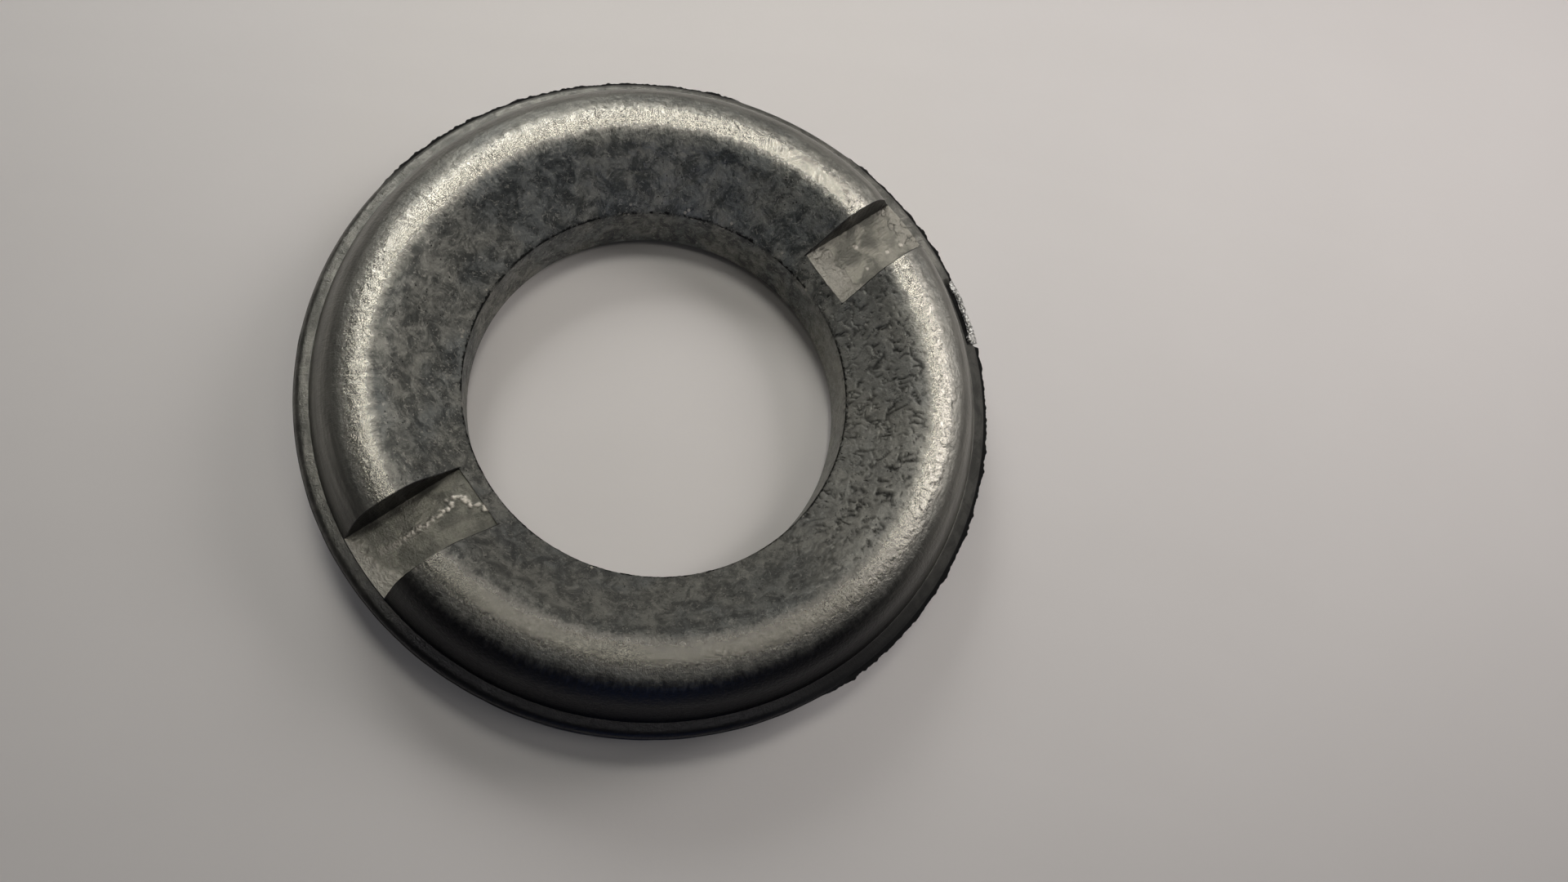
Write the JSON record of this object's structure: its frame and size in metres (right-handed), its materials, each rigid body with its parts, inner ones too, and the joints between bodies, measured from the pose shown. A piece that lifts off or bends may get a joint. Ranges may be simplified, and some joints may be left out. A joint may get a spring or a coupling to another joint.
{
  "type": "shaft collar",
  "caption": "Die-cast metal shaft collar: plain bore, dished seat rising to a rounded crest, driving slots across the crest, and a thin flanged foot.",
  "frame": {"origin": "centre of the bore in the plane of the flat base that the collar rests on", "axes": "+Z along the bore from the base towards the dished face; the driving slots run along X"},
  "size_m": [0.0458, 0.0458, 0.0092],
  "materials": {
    "cast_zinc": "dull grey cast skin, burnished bright along the crest"
  },
  "bodies": {
    "root": {"collar_casting": "cast_zinc"}
  },
  "joints": []
}
